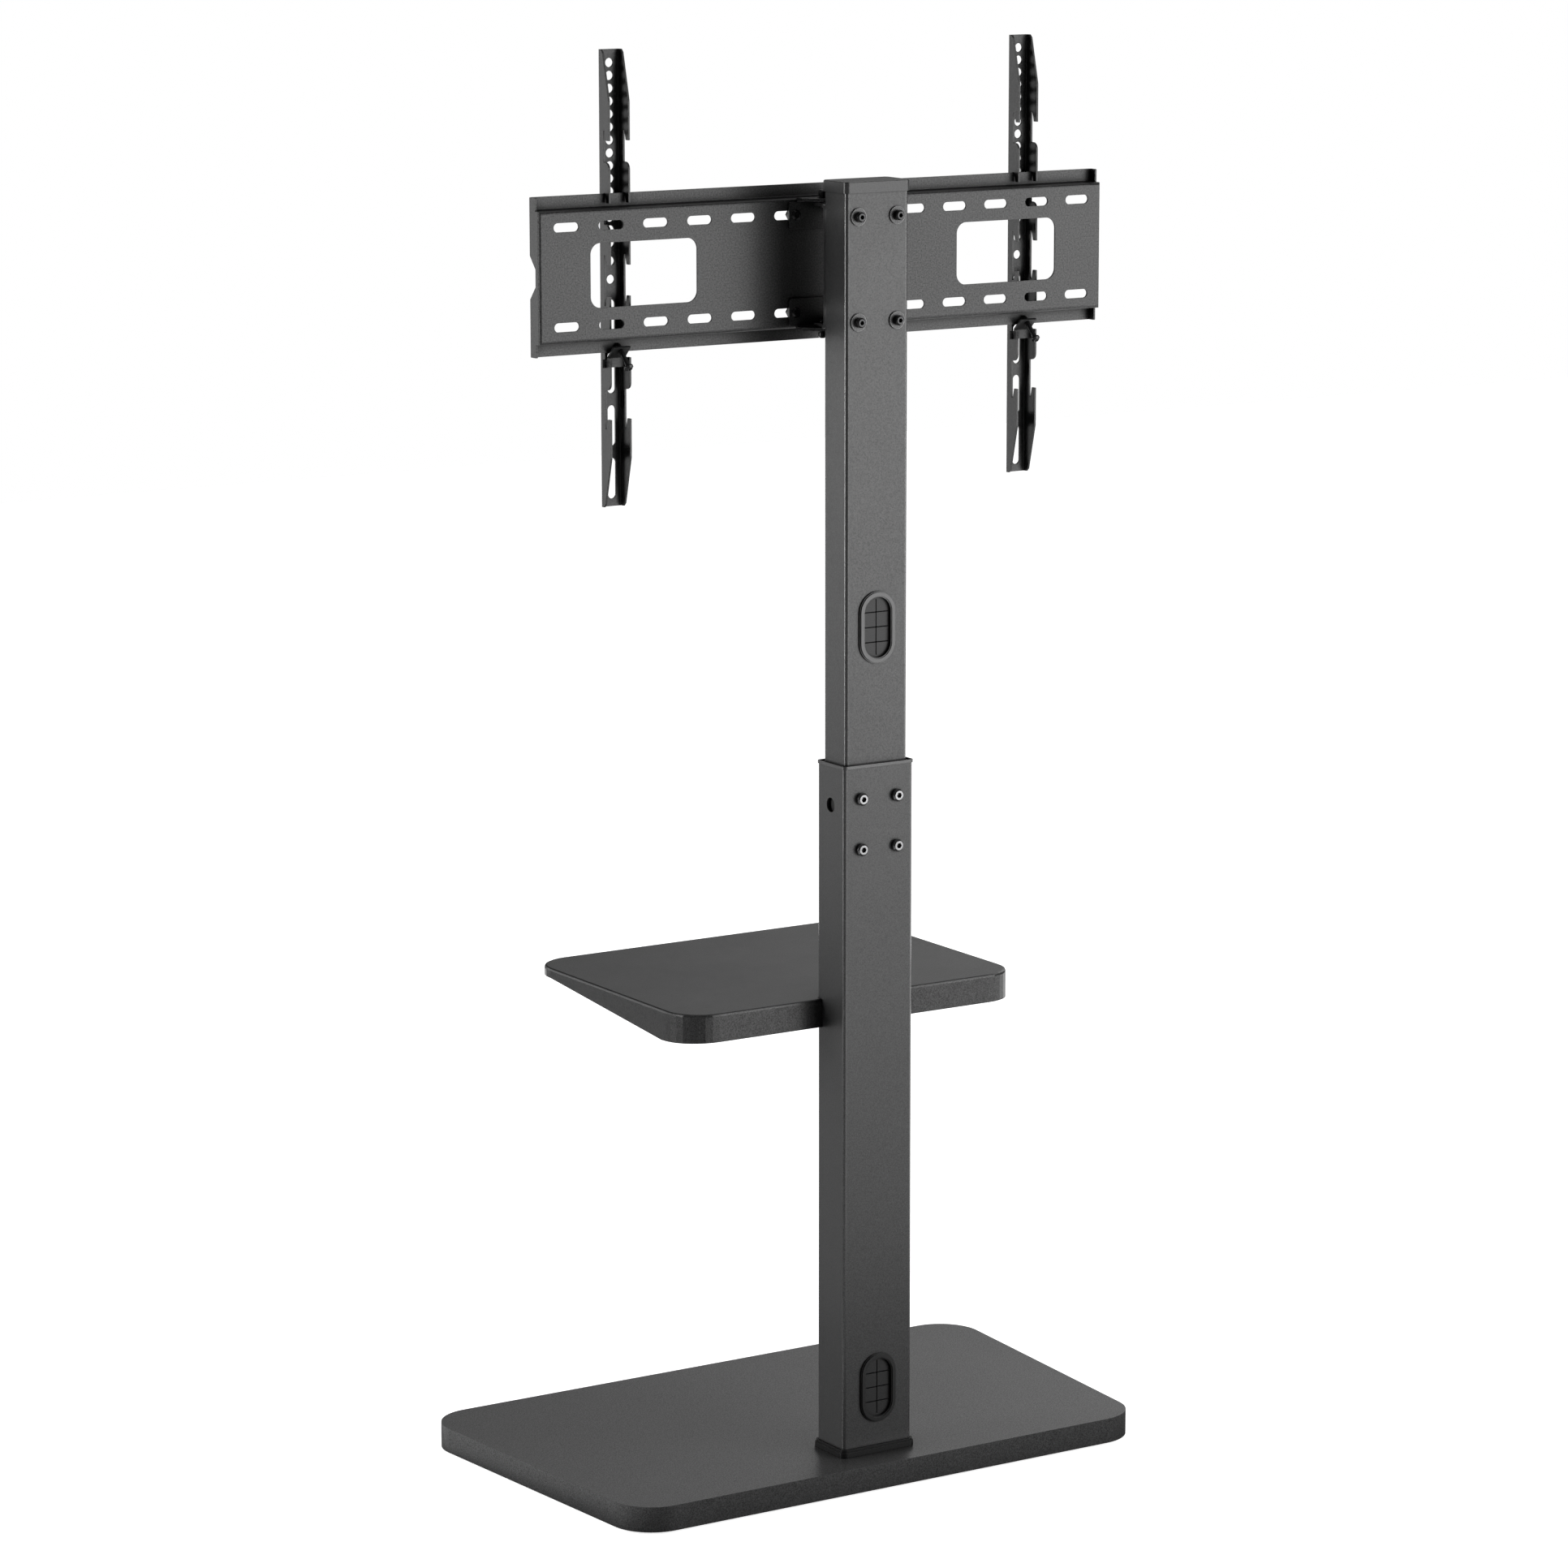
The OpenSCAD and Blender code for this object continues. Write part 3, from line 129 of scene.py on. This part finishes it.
def makeCoatGrain():
    # orange peel and fine sparkle of a sprayed coat; the grain size is in millimetres
    form = grainForm
    group, enter, leave = newGroup(
        "coatGrain",
        {"Color": (0.05, 0.05, 0.05, 1), "Grain Size": 0.8, "Speckle": 0.2, "Roughness": 0.5,
         "Roughness Spread": 0.08, "Mottle": 0.06},
        {"Color": "Color", "Roughness": "Float", "Height": "Float", "Sparkle": "Float"})
    place = coordinate(group, -1000, 300, "Object")
    scale = calc(group, -800, -200, "DIVIDE", form["perMetre"], enter["Grain Size"])
    fine = noise(group, -600, 300, place, scale, form["fineDetail"], form["fineRoughness"])
    peel = noise(group, -600, 50, place, form["peelScale"], form["peelDetail"])
    cloud = noise(group, -600, -200, place, form["cloudScale"], form["cloudDetail"],
                  form["cloudRoughness"])
    height = mixNumber(group, -350, 200, form["peelShare"], fine, peel)
    # grain and cloud above or below their middle lighten or darken the colour
    centred = calc(group, -350, 420, "SUBTRACT", fine, form["middle"])
    sparkle = calc(group, -180, 420, "MULTIPLY_ADD", centred, enter["Speckle"], 1.0)
    drift = calc(group, -350, -200, "SUBTRACT", cloud, form["middle"])
    mottle = calc(group, -180, -200, "MULTIPLY_ADD", drift, enter["Mottle"], 1.0)
    both = calc(group, 0, 300, "MULTIPLY", sparkle, mottle)
    tint = vectorCalc(group, 200, 300, "SCALE", {0: enter["Color"], "Scale": both}, 0)
    # and they make the gloss uneven
    uneven = calc(group, -180, -20, "ADD", drift, centred)
    rough = calc(group, 0, -50, "MULTIPLY_ADD", uneven, enter["Roughness Spread"],
                 enter["Roughness"])
    feed(group, leave, {"Color": tint, "Roughness": rough, "Height": height, "Sparkle": both})
    return group


wearAndHighlightForm = {"samples": 6, "untouched": 1.0, "rubbed": 0.8, "patchScale": 90.0, "patchDetail": 3.0}


def makeEdgeWearAndHighlight():
    #     lighter edges, rubbed wear on most finishes and a painted highlight on the washers, skirt
    #     and collar: a mask from how far the rounded normal leans away from the flat one
    form = wearAndHighlightForm
    group, enter, leave = newGroup(
        "edgeWearAndHighlight", {"Width": 0.0008, "Strength": 0.5}, {"Mask": "Float", "Normal": "Vector"})
    soft = addNode(group, "ShaderNodeBevel", -700, 0, samples=form["samples"])
    feed(group, soft, {"Radius": enter["Width"]})
    flat = addNode(group, "ShaderNodeNewGeometry", -700, -250)
    lean = vectorCalc(group, -450, 0, "DOT_PRODUCT",
                      {0: soft.outputs["Normal"], 1: flat.outputs["Normal"]}, "Value")
    mask = ramp(group, -250, 0, lean, form["untouched"], form["rubbed"])
    place = coordinate(group, -700, -400, "Object")
    patchy = noise(group, -450, -300, place, form["patchScale"], form["patchDetail"])
    part = calc(group, -50, -100, "MULTIPLY", mask, patchy)
    amount = calc(group, 150, -100, "MULTIPLY", part, enter["Strength"], clamp=True)
    feed(group, leave, {"Mask": amount, "Normal": soft.outputs["Normal"]})
    return group


dustForm = {"steep": 0.6, "level": 1.0, "cloudScale": 9.0, "cloudDetail": 5.0,
            "cloudRoughness": 0.6, "color": (0.3, 0.29, 0.28, 1)}


def makeSettledDust():
    # a thin film on faces that look up
    form = dustForm
    group, enter, leave = newGroup("settledDust", {"Amount": 0.1}, {"Mask": "Float"})
    flat = addNode(group, "ShaderNodeNewGeometry", -800, 0)
    rise = axesOf(group, -600, 0, flat.outputs["Normal"])["Z"]
    up = ramp(group, -400, 0, rise, form["steep"], form["level"])
    place = coordinate(group, -800, -250, "Object")
    cloud = noise(group, -600, -250, place, form["cloudScale"], form["cloudDetail"],
                  form["cloudRoughness"])
    film = calc(group, -200, 0, "MULTIPLY", up, cloud)
    amount = calc(group, 0, 0, "MULTIPLY", film, enter["Amount"], clamp=True)
    feed(group, leave, {"Mask": amount})
    return group


paintedSeamForm = {"samples": 6, "shut": 0.35, "open": 0.85}


def makePaintedSeamShade():
    #     painted shade: darker and duller in seams, under rims and round screws, from an occlusion
    #         mask
    form = paintedSeamForm
    group, enter, leave = newGroup(
        "paintedSeamShade", {"Reach": 0.004, "Depth": 0.8}, {"Open": "Float"})
    near = addNode(group, "ShaderNodeAmbientOcclusion", -600, 0, samples=form["samples"])
    feed(group, near, {"Distance": enter["Reach"]})
    clear = ramp(group, -350, 0, near.outputs["AO"], form["shut"], form["open"])
    covered = calc(group, -150, 0, "SUBTRACT", 1.0, clear)
    loss = calc(group, 50, 0, "MULTIPLY", covered, enter["Depth"])
    feed(group, leave, {"Open": calc(group, 250, 0, "SUBTRACT", 1.0, loss)})
    return group


rollForm = {"flat": 0.03, "round": 0.2}


def makeRollGloss():
    # rolled corners, where the face turns between the piece's own sides, have their own gloss
    form = rollForm
    group, enter, leave = newGroup(
        "rollGloss", {"Roughness": 0.5, "Corner Roughness": 0.2, "Corner Gain": 1.0},
        {"Roughness": "Float", "Gain": "Float"})
    axes = axesOf(group, -700, 0, coordinate(group, -900, 0, "Normal"))
    turn = calc(group, -500, 0, "MULTIPLY", axes["X"], axes["Y"])
    mask = ramp(group, -150, 0, calc(group, -350, 0, "ABSOLUTE", turn),
                form["flat"], form["round"], smooth=True)
    rough = mixNumber(group, 150, 0, mask, enter["Roughness"], enter["Corner Roughness"])
    gain = mixNumber(group, 150, -250, mask, 1.0, enter["Corner Gain"])
    feed(group, leave, {"Roughness": rough, "Gain": gain})
    return group


coatGrain = makeCoatGrain()
edgeWearAndHighlight = makeEdgeWearAndHighlight()
settledDust = makeSettledDust()
paintedSeamShade = makePaintedSeamShade()
rollGloss = makeRollGloss()


# ---- finishes

coatIndex = 1.5
bumpDepth = 0.0002


def makeFinish(name, look):
    material = bpy.data.materials.new(name)
    tree = emptyTree(material)
    out = addNode(tree, "ShaderNodeOutputMaterial", 700, 0)
    shader = addNode(tree, "ShaderNodeBsdfPrincipled", 400, 0)
    feed(tree, out, {0: shader.outputs[0]})
    grain = useGroup(tree, -500, 100, coatGrain, {
        "Color": (*look["color"], 1), "Grain Size": look["grainSize"],
        "Speckle": look["speckle"], "Roughness": look["roughness"],
        "Roughness Spread": look["roughnessSpread"], "Mottle": look["mottle"]})
    wearAndHighlight = useGroup(tree, -500, -250, edgeWearAndHighlight, {
        "Width": look["edgeWidth"], "Strength": look["edgeWearAndHighlight"]})
    paintedShade = useGroup(tree, -500, -600, paintedSeamShade, {
        "Reach": look["paintedShadeReach"], "Depth": look["paintedShadeDepth"]})
    roll = useGroup(tree, -250, -120, rollGloss, {
        "Roughness": grain["Roughness"], "Corner Roughness": look["cornerRoughness"],
        "Corner Gain": look["cornerGain"]})
    # lighter edges: rubbed wear, and a painted highlight on some finishes
    color = mixColor(tree, -200, 100, wearAndHighlight["Mask"], grain["Color"], (*look["wornAndHighlightColor"], 1))
    if look["dust"] > 0:
        dust = useGroup(tree, -500, -450, settledDust, {"Amount": look["dust"]})
        color = mixColor(tree, 50, 100, dust["Mask"], color, dustForm["color"])
    # painted shade: the colour darkens where the occlusion mask finds near surfaces
    shaded = vectorCalc(tree, 220, 100, "SCALE", {0: color, "Scale": paintedShade["Open"]}, 0)
    bump = addNode(tree, "ShaderNodeBump", 150, -250)
    feed(tree, bump, {"Strength": look["bump"], "Distance": bumpDepth, "Height": grain["Height"],
                      "Normal": wearAndHighlight["Normal"]})
    feed(tree, shader, {
        "Base Color": shaded, "Metallic": look["metallic"], "IOR": look["ior"],
        "Roughness": roll["Roughness"], "Specular IOR Level": look["shine"],
        "Coat Roughness": look["glossRoughness"], "Coat IOR": coatIndex,
        "Normal": bump.outputs[0]})
    if look["gloss"] > 0:
        # painted shade also dulls the coat in the same places
        sheen = calc(tree, -200, -450, "MULTIPLY", grain["Sparkle"], paintedShade["Open"])
        lively = calc(tree, -50, -450, "MULTIPLY", sheen, roll["Gain"])
        gloss = calc(tree, 100, -450, "MULTIPLY", lively, look["gloss"], clamp=True)
        feed(tree, shader, {"Coat Weight": gloss})
    return material


powderCoat = {
    "color": (0.025, 0.025, 0.0254), "wornAndHighlightColor": (0.13, 0.13, 0.13), "metallic": 0.0,
    "ior": 1.5, "grainSize": 1.2, "speckle": 2.0, "roughness": 0.5, "roughnessSpread": 0.3,
    "mottle": 0.2, "cornerRoughness": 0.2, "cornerGain": 2.9, "shine": 0.2, "gloss": 0.34,
    "glossRoughness": 0.27, "paintedShadeReach": 0.004, "paintedShadeDepth": 0.85, "edgeWidth": 0.0007,
    "edgeWearAndHighlight": 0.15, "dust": 0.0, "bump": 0.5,
}
# painted shade: a darker, duller copy of the powder coat for the plate and yokes in the column's
# shade, with a long reach of painted shade beside the column
mountCoatPaintedShade = {
    **powderCoat, "color": (0.023, 0.023, 0.0233), "gloss": 0.27, "shine": 0.15,
    "paintedShadeReach": 0.014, "paintedShadeDepth": 1.0, "grainSize": 1.5, "speckle": 3.0,
}
# painted highlight: a bright ring on the washer bevels from strong edge lightening
washerCoatPaintedHighlight = {
    **powderCoat, "wornAndHighlightColor": (0.5, 0.5, 0.5), "edgeWidth": 0.0009, "edgeWearAndHighlight": 0.9,
    "paintedShadeReach": 0.0025, "gloss": 0.45,
}
# painted shade: a darker, duller copy of the powder coat for the arms and lock plates, with a long
# reach of painted shade in their channels
armCoatPaintedShade = {
    **powderCoat, "color": (0.018, 0.018, 0.0182), "gloss": 0.28, "shine": 0.15,
    "paintedShadeReach": 0.016, "paintedShadeDepth": 1.0,
}
# painted shade: the long reach darkens the board beside the column foot and along its edges by the
# floor
boardPaint = {
    **powderCoat, "color": (0.034, 0.034, 0.0344), "gloss": 0.66, "glossRoughness": 0.32,
    "cornerRoughness": 0.45, "cornerGain": 0.8, "shine": 0.08, "edgeWidth": 0.0011,
    "edgeWearAndHighlight": 0.1, "speckle": 2.6, "paintedShadeReach": 0.05, "paintedShadeDepth": 0.35, "dust": 0.02,
}
mouldedPlastic = {
    **powderCoat, "color": (0.026, 0.026, 0.0264), "gloss": 0.45, "shine": 0.1, "speckle": 1.1,
    "cornerRoughness": 0.4, "cornerGain": 1.0, "edgeWidth": 0.0006, "edgeWearAndHighlight": 0.08, "bump": 0.35,
}
# painted highlight: stronger edge lightening brightens the collar's chamfer
collarPlastic = {
    **mouldedPlastic, "gloss": 0.8, "paintedShadeDepth": 0.35, "edgeWidth": 0.001, "edgeWearAndHighlight": 0.3,
}
# painted shadow: the long reach darkens the shelf's top and back edge beside the column
shelfPlastic = {
    **mouldedPlastic, "color": (0.017, 0.017, 0.0172), "gloss": 0.46, "glossRoughness": 0.24,
    "speckle": 3.0, "paintedShadeReach": 0.07, "paintedShadeDepth": 1.0, "dust": 0.02,
}
ringPlastic = {
    **mouldedPlastic, "color": (0.011, 0.011, 0.0112), "gloss": 0.7, "glossRoughness": 0.2,
    "speckle": 0.6,
}
# painted highlight: strong edge lightening on the skirt's steps
skirtPlastic = {**ringPlastic, "color": (0.006, 0.006, 0.0061), "gloss": 0.1, "edgeWearAndHighlight": 0.5}
softRubber = {
    **mouldedPlastic, "color": (0.012, 0.012, 0.0122), "gloss": 0.3, "glossRoughness": 0.4,
    "edgeWearAndHighlight": 0.0, "grainSize": 1.1,
}
blackOxide = {
    **powderCoat, "color": (0.03, 0.03, 0.0305), "wornAndHighlightColor": (0.2, 0.2, 0.2), "metallic": 0.8,
    "roughness": 0.26, "roughnessSpread": 0.1, "grainSize": 0.6, "speckle": 0.5, "gloss": 0.0,
    "edgeWidth": 0.0004, "edgeWearAndHighlight": 0.4, "bump": 0.12,
}
boltBlack = {**blackOxide, "color": (0.17, 0.17, 0.172), "roughness": 0.16, "metallic": 0.95}
brightZinc = {
    **powderCoat, "color": (0.38, 0.38, 0.4), "wornAndHighlightColor": (0.6, 0.6, 0.62), "metallic": 1.0,
    "roughness": 0.36, "roughnessSpread": 0.1, "grainSize": 0.5, "speckle": 0.3, "gloss": 0.0,
    "edgeWidth": 0.0004, "edgeWearAndHighlight": 0.3, "bump": 0.2,
}
plainNylon = {
    **mouldedPlastic, "color": (0.55, 0.54, 0.5), "wornAndHighlightColor": (0.7, 0.7, 0.66), "gloss": 0.2,
    "glossRoughness": 0.4, "speckle": 0.1,
}

finishes = {
    "powder_coat": makeFinish("powderCoat", powderCoat),
    "mount": makeFinish("mountCoatPaintedShade", mountCoatPaintedShade),
    "arm": makeFinish("armCoatPaintedShade", armCoatPaintedShade),
    "washer": makeFinish("washerCoatPaintedHighlight", washerCoatPaintedHighlight),
    "board_finish": makeFinish("boardPaint", boardPaint),
    "black_plastic": makeFinish("mouldedPlastic", mouldedPlastic),
    "collar": makeFinish("collarPlastic", collarPlastic),
    "shelf": makeFinish("shelfPlastic", shelfPlastic),
    "ring": makeFinish("ringPlastic", ringPlastic),
    "skirt": makeFinish("skirtPlastic", skirtPlastic),
    "black_rubber": makeFinish("softRubber", softRubber),
    "black_screws": makeFinish("blackOxide", blackOxide),
    "bolt": makeFinish("boltBlack", boltBlack),
    "zinc_plate": makeFinish("brightZinc", brightZinc),
    "nylon": makeFinish("plainNylon", plainNylon),
}
print("finishes made:", len(finishes))

# a part takes its record's finish unless it has one of its own here
slotOf = {part["node"]: part["material_slot"] for part in frame["record"]["subparts"]}
ownFinish = {
    "mount_plate": "mount", "upper_yoke": "mount", "lower_yoke": "mount",
    "head_washers": "washer", "height_bolts": "bolt", "right_arm": "arm", "left_arm": "arm",
    "right_lock_plate": "arm", "left_lock_plate": "arm", "lower_grommet": "ring",
    "upper_grommet": "ring", "base_skirt": "skirt", "shelf": "shelf", "column_collar": "collar",
}
for name, piece in nodes.items():
    piece.data.materials.clear()
    piece.data.materials.append(finishes[ownFinish.get(name, slotOf[name])])
print("finishes laid on the stand")


# ---- floor

floorLook = {
    "size": 14.0, "cells": 4, "near": 0.45, "far": 1.3, "white": (0.95, 0.95, 0.95, 1),
    "nearGlow": 0.8, "farGlow": 1.0, "dim": 0.16, "lit": 0.6, "out": 0.6, "litFrom": 0.3,
    "litTo": 0.34, "bandFrom": 0.45, "bandTo": 0.6, "bandGlow": 0.5, "outGlow": 1.2,
}


def makeFloorPaint():
    #     the camera sees a white floor; reflections see a dim one with painted pools of light
    #     beside the board's +X side and further out
    look = floorLook
    material = bpy.data.materials.new("paleFloor")
    tree = emptyTree(material)
    out = addNode(tree, "ShaderNodeOutputMaterial", 800, 0)
    seen = addNode(tree, "ShaderNodeLightPath", -700, 350).outputs["Is Camera Ray"]
    place = coordinate(tree, -900, -200, "Object")
    across = axesOf(tree, -700, 100, place)["X"]
    reach = vectorCalc(tree, -700, -200, "LENGTH", {0: place}, "Value")

    def outward(y, low, high):
        return ramp(tree, -500, y, reach, look["near"], look["far"], low, high, smooth=True)

    lit = ramp(tree, -500, 100, across, look["litFrom"], look["litTo"], look["dim"], look["lit"],
               smooth=True)
    bright = calc(tree, -300, -350, "MAXIMUM", lit, outward(-450, 0.0, look["out"]))
    paint = addNode(tree, "ShaderNodeBsdfDiffuse", 0, 100)
    feed(tree, paint, {"Color": mixColor(tree, -300, 100, seen, bright, look["white"])})
    #     a glowing band on the floor beside the board throws light on its edge, and so does a glow
    #     further out
    band = ramp(tree, -500, -650, across, look["bandFrom"], look["bandTo"], look["bandGlow"], 0.0,
                smooth=True)
    beside = calc(tree, -300, -600, "GREATER_THAN", across, look["litTo"])
    strip = calc(tree, -150, -600, "MULTIPLY", band, beside)
    inside = calc(tree, -300, -1000, "LESS_THAN", across, look["litTo"])
    thrown = calc(tree, -150, -800, "MULTIPLY_ADD", outward(-900, 0.0, look["outGlow"]), inside,
                  strip)
    unseen = calc(tree, -300, -780, "SUBTRACT", 1.0, seen)
    shown = calc(tree, -250, -100, "MULTIPLY", seen,
                 outward(-200, look["nearGlow"], look["farGlow"]))
    glow = addNode(tree, "ShaderNodeEmission", 0, -100)
    feed(tree, glow, {"Strength": calc(tree, -100, -300, "MULTIPLY_ADD", thrown, unseen, shown)})
    both = addNode(tree, "ShaderNodeAddShader", 400, 0)
    feed(tree, both, {0: paint.outputs[0], 1: glow.outputs[0]})
    feed(tree, out, {0: both.outputs[0]})
    return material


def makeFloor():
    mesh = bpy.data.meshes.new("floor")
    shape = bmesh.new()
    bmesh.ops.create_grid(shape, x_segments=floorLook["cells"], y_segments=floorLook["cells"],
                          size=floorLook["size"] / 2)
    shape.to_mesh(mesh)
    shape.free()
    floor = bpy.data.objects.new("floor", mesh)
    bpy.context.scene.collection.objects.link(floor)
    mesh.materials.append(makeFloorPaint())


# ---- room and lamps

roomLook = {
    "ambient": 0.08, "backGlow": 1.8, "backAim": (-0.79, -0.535, 0.3), "backFrom": 0.85,
    "glowFoot": 0.08, "glowTop": 0.4, "white": (1, 1, 1, 1),
}


def makeWorld():
    # a dim room with a soft glow behind the stand; the camera sees plain white
    look = roomLook
    world = bpy.data.worlds.new("studioWhite")
    tree = emptyTree(world)
    out = addNode(tree, "ShaderNodeOutputWorld", 700, 0)
    way = coordinate(tree, -800, 0, "Generated")
    lean = vectorCalc(tree, -600, 0, "DOT_PRODUCT", {0: way, 1: look["backAim"]}, "Value")
    room = ramp(tree, -400, 0, lean, look["backFrom"], 1.0, 0.0, look["backGlow"], smooth=True)
    rise = axesOf(tree, -600, -250, way)["Z"]
    lift = ramp(tree, -400, -250, rise, look["glowFoot"], look["glowTop"], smooth=True)
    level = calc(tree, -200, -100, "MULTIPLY_ADD", room, lift, look["ambient"])
    dim = addNode(tree, "ShaderNodeBackground", 0, 0)
    feed(tree, dim, {"Strength": level, "Color": look["white"]})
    white = addNode(tree, "ShaderNodeBackground", 0, -150)
    feed(tree, white, {"Strength": 1.0, "Color": look["white"]})
    path = addNode(tree, "ShaderNodeLightPath", -300, 250)
    mix = addNode(tree, "ShaderNodeMixShader", 350, 0)
    feed(tree, mix, {0: path.outputs["Is Camera Ray"], 1: dim.outputs[0], 2: white.outputs[0]})
    feed(tree, out, {0: mix.outputs[0]})
    bpy.context.scene.world = world


lampAim = (0, 0, 0.8)
lamps = {
    "keyPanel": {"place": (-2.3, 3.3, 1.35), "width": 3.6, "height": 2.7, "glow": 5.7},
    "sidePanel": {"place": (2.0, -3.3, 1.2), "width": 2.8, "height": 2.2, "glow": 1.95},
    "rimPanel": {"place": (3.7, -0.75, 1.15), "width": 0.8, "height": 2.0, "glow": 22.0},
    "topPanel": {"place": (-0.4, -0.4, 3.9), "width": 2.4, "height": 2.4, "glow": 0.6},
}


def turnTo(place, aim):
    return (Vector(aim) - Vector(place)).to_track_quat("-Z", "Y")


def makeLamp(name, look):
    lamp = bpy.data.lights.new(name, "AREA")
    lamp.shape = "RECTANGLE"
    lamp.size = look["width"]
    lamp.size_y = look["height"]
    lamp.energy = look["glow"] * math.pi * look["width"] * look["height"]
    holder = bpy.data.objects.new(name, lamp)
    holder.location = look["place"]
    holder.rotation_euler = turnTo(look["place"], lampAim).to_euler()
    holder.visible_camera = False
    bpy.context.scene.collection.objects.link(holder)


makeFloor()
makeWorld()
for name, look in lamps.items():
    makeLamp(name, look)
print("studio lit")


# ---- camera, at the photograph's place

view = {
    "place": (2.9291, 4.5953, 1.7336), "aim": (0.0082, -0.0052, 0.69465),
    "roll": -0.06, "lens": 125.14, "sensor": 36.0, "clipStart": 0.1, "clipEnd": 60.0,
}


def makeCamera():
    lens = bpy.data.cameras.new("camera")
    lens.lens = view["lens"]
    lens.sensor_width = view["sensor"]
    lens.clip_start = view["clipStart"]
    lens.clip_end = view["clipEnd"]
    camera = bpy.data.objects.new("camera", lens)
    camera.matrix_world = (Matrix.Translation(view["place"])
                           @ turnTo(view["place"], view["aim"]).to_matrix().to_4x4()
                           @ Matrix.Rotation(math.radians(view["roll"]), 4, "Z"))
    bpy.context.scene.collection.objects.link(camera)
    bpy.context.scene.camera = camera


makeCamera()
bpy.context.scene.view_settings.view_transform = "Standard"
print("camera set")
